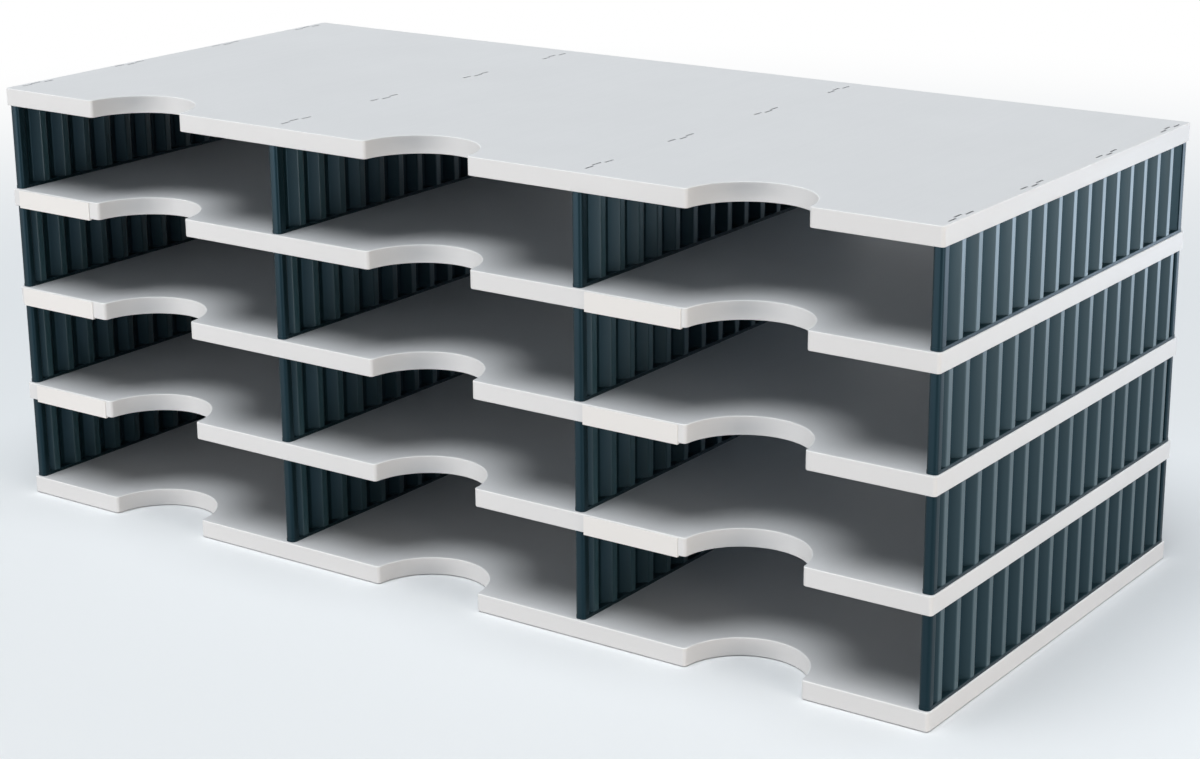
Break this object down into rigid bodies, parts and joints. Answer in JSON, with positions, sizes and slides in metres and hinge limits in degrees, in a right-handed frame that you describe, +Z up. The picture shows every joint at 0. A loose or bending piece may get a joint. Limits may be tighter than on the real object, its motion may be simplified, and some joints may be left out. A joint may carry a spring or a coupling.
{
  "type": "document sorter",
  "caption": "Free-standing desk-top sorter: pale boards with finger notches, plugged onto dark corrugated dividers, with open letter-sized bays in rows and columns for flat papers.",
  "frame": {"origin": "centre of the base board's underside, on the table", "axes": "+X to the right along the width, +Y to the back, +Z up; the bays open towards -Y"},
  "size_m": [0.723, 0.3318, 0.2936],
  "materials": {
    "board_plastic": "fine satin, moulded",
    "divider_plastic": "semi-gloss, moulded",
    "label": "smooth, blank"
  },
  "bodies": {
    "root": {"base_board": "board_plastic", "shelf_board_1": "board_plastic", "shelf_board_2": "board_plastic", "shelf_board_3": "board_plastic", "top_board": "board_plastic", "divider_row_1_left": "divider_plastic", "divider_row_1_inner_1": "divider_plastic", "divider_row_1_inner_2": "divider_plastic", "divider_row_1_right": "divider_plastic", "divider_row_2_left": "divider_plastic", "divider_row_2_inner_1": "divider_plastic", "divider_row_2_inner_2": "divider_plastic", "divider_row_2_right": "divider_plastic", "divider_row_3_left": "divider_plastic", "divider_row_3_inner_1": "divider_plastic", "divider_row_3_inner_2": "divider_plastic", "divider_row_3_right": "divider_plastic", "divider_row_4_left": "divider_plastic", "divider_row_4_inner_1": "divider_plastic", "divider_row_4_inner_2": "divider_plastic", "divider_row_4_right": "divider_plastic", "label_strip_left_1": "label", "label_strip_right_1": "label", "label_strip_left_2": "label", "label_strip_right_2": "label", "label_strip_left_3": "label", "label_strip_right_3": "label"}
  },
  "joints": []
}
